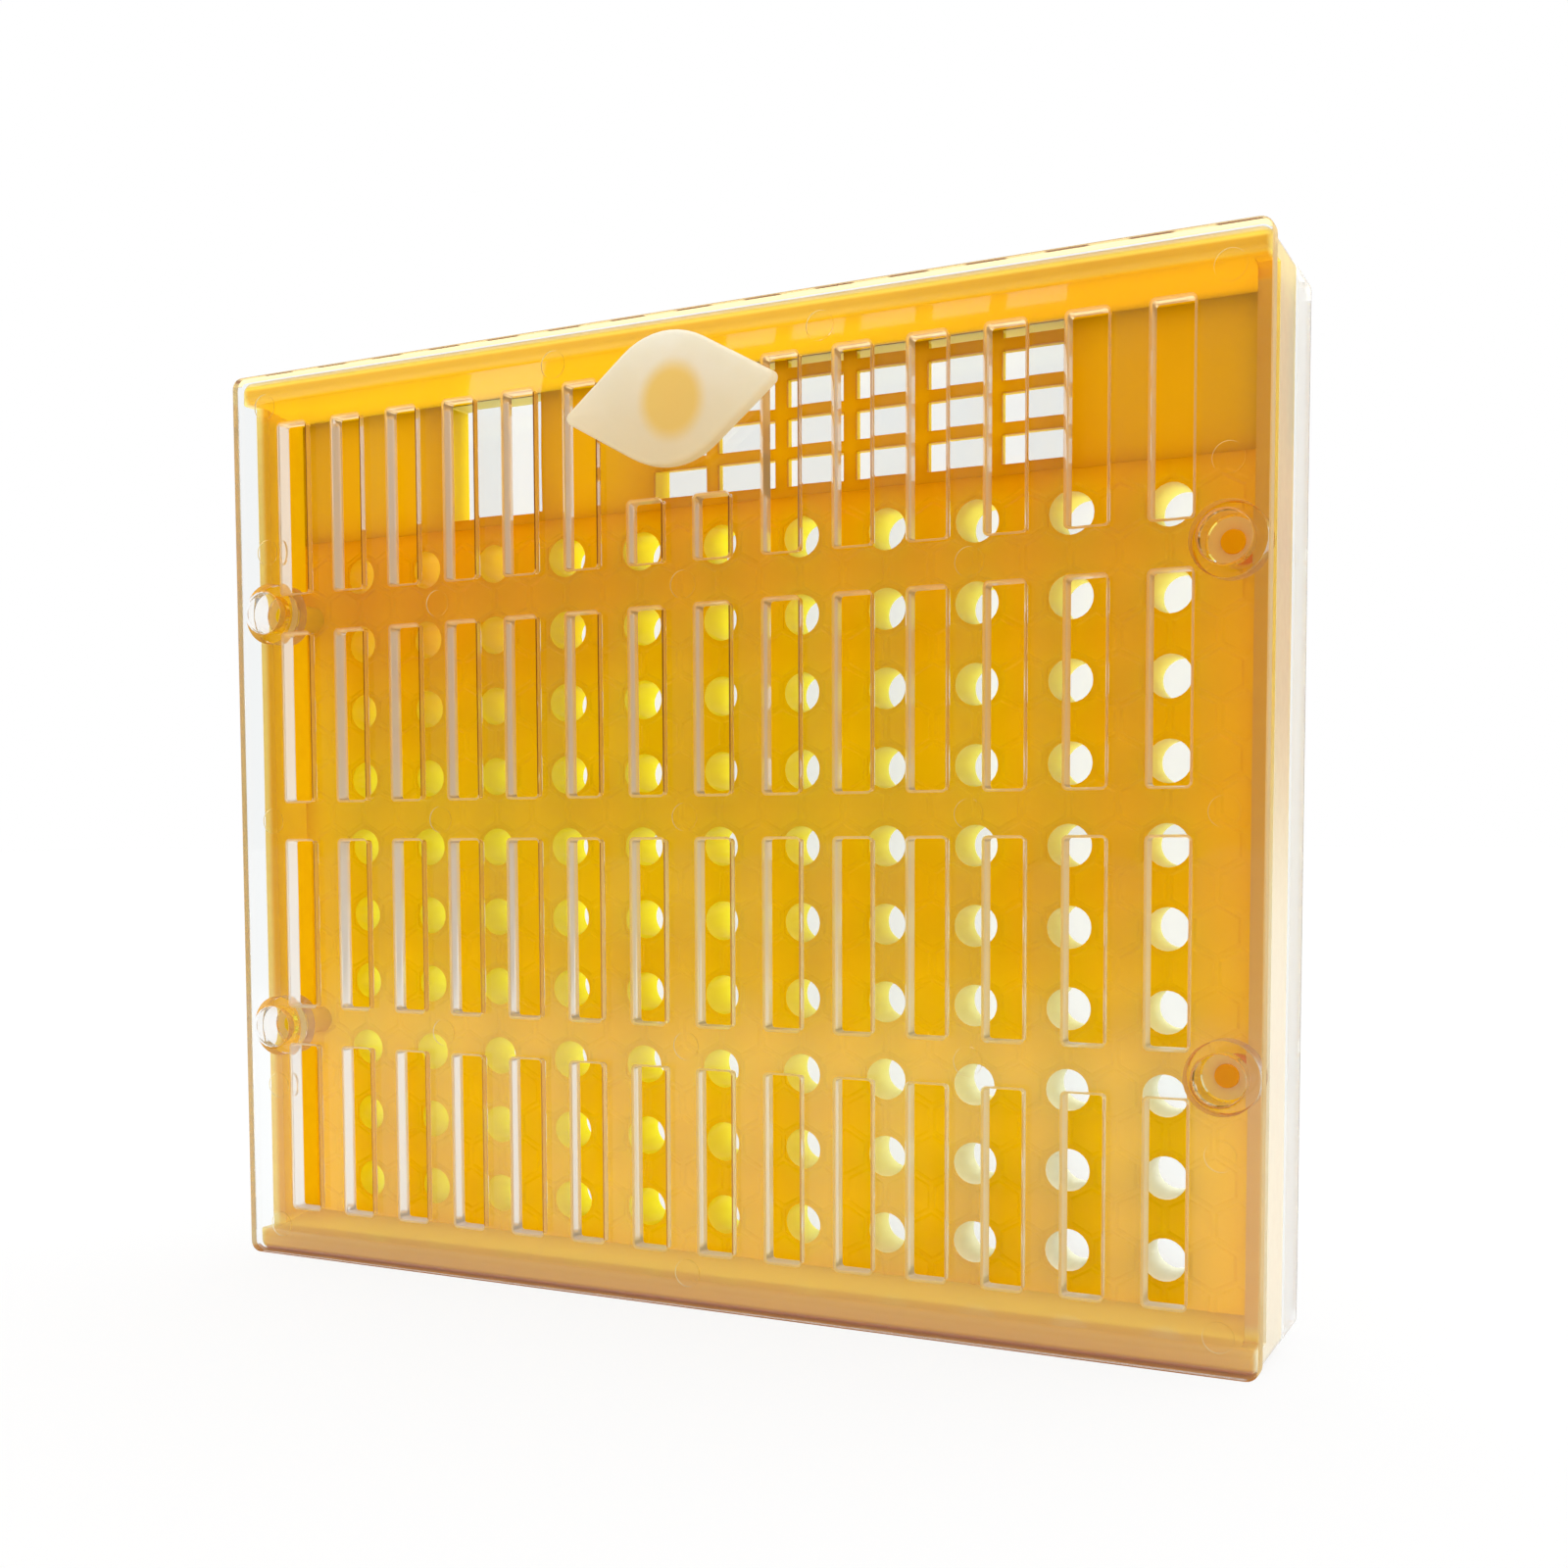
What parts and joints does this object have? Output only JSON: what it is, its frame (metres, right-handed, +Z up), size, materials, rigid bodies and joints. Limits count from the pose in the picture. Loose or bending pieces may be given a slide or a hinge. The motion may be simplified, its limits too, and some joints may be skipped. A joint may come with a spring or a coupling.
{
  "type": "queen rearing box",
  "caption": "Clear-fronted comb box in which a queen bee lays into cell cup sockets, with a slotted excluder cover, a push-in plug and a lift-off rear cover.",
  "frame": {"origin": "middle of the lower edge that the box stands on, halfway between its front and back", "axes": "+X along the width, +Y from the slotted front to the back, +Z up"},
  "size_m": [0.1294, 0.025, 0.1136],
  "materials": {
    "clear_plastic": "clear moulded polystyrene, glossy",
    "milky_plastic": "milky translucent polyethylene, satin",
    "yellow_plastic": "amber yellow translucent polypropylene, semi-gloss"
  },
  "bodies": {
    "comb_body": {"body_walls": "yellow_plastic", "comb_plate": "yellow_plastic", "cell_rims": "yellow_plastic", "vent_panel": "yellow_plastic", "cover_posts": "yellow_plastic", "rear_pegs": "yellow_plastic"},
    "front_cover": {"front_cover": "clear_plastic"},
    "queen_plug": {"queen_plug": "milky_plastic"},
    "rear_cover": {"rear_cover": "clear_plastic"}
  },
  "joints": [
    {"name": "front_cover_pull", "type": "slide", "parent": "comb_body", "child": "front_cover", "axis": [0, -1, 0], "range_m": [0, 0.03]},
    {"name": "plug_pull", "type": "slide", "parent": "front_cover", "child": "queen_plug", "axis": [0, -1, 0], "range_m": [0, 0.015]},
    {"name": "rear_cover_pull", "type": "slide", "parent": "comb_body", "child": "rear_cover", "axis": [0, 1, 0], "range_m": [0, 0.03]}
  ]
}
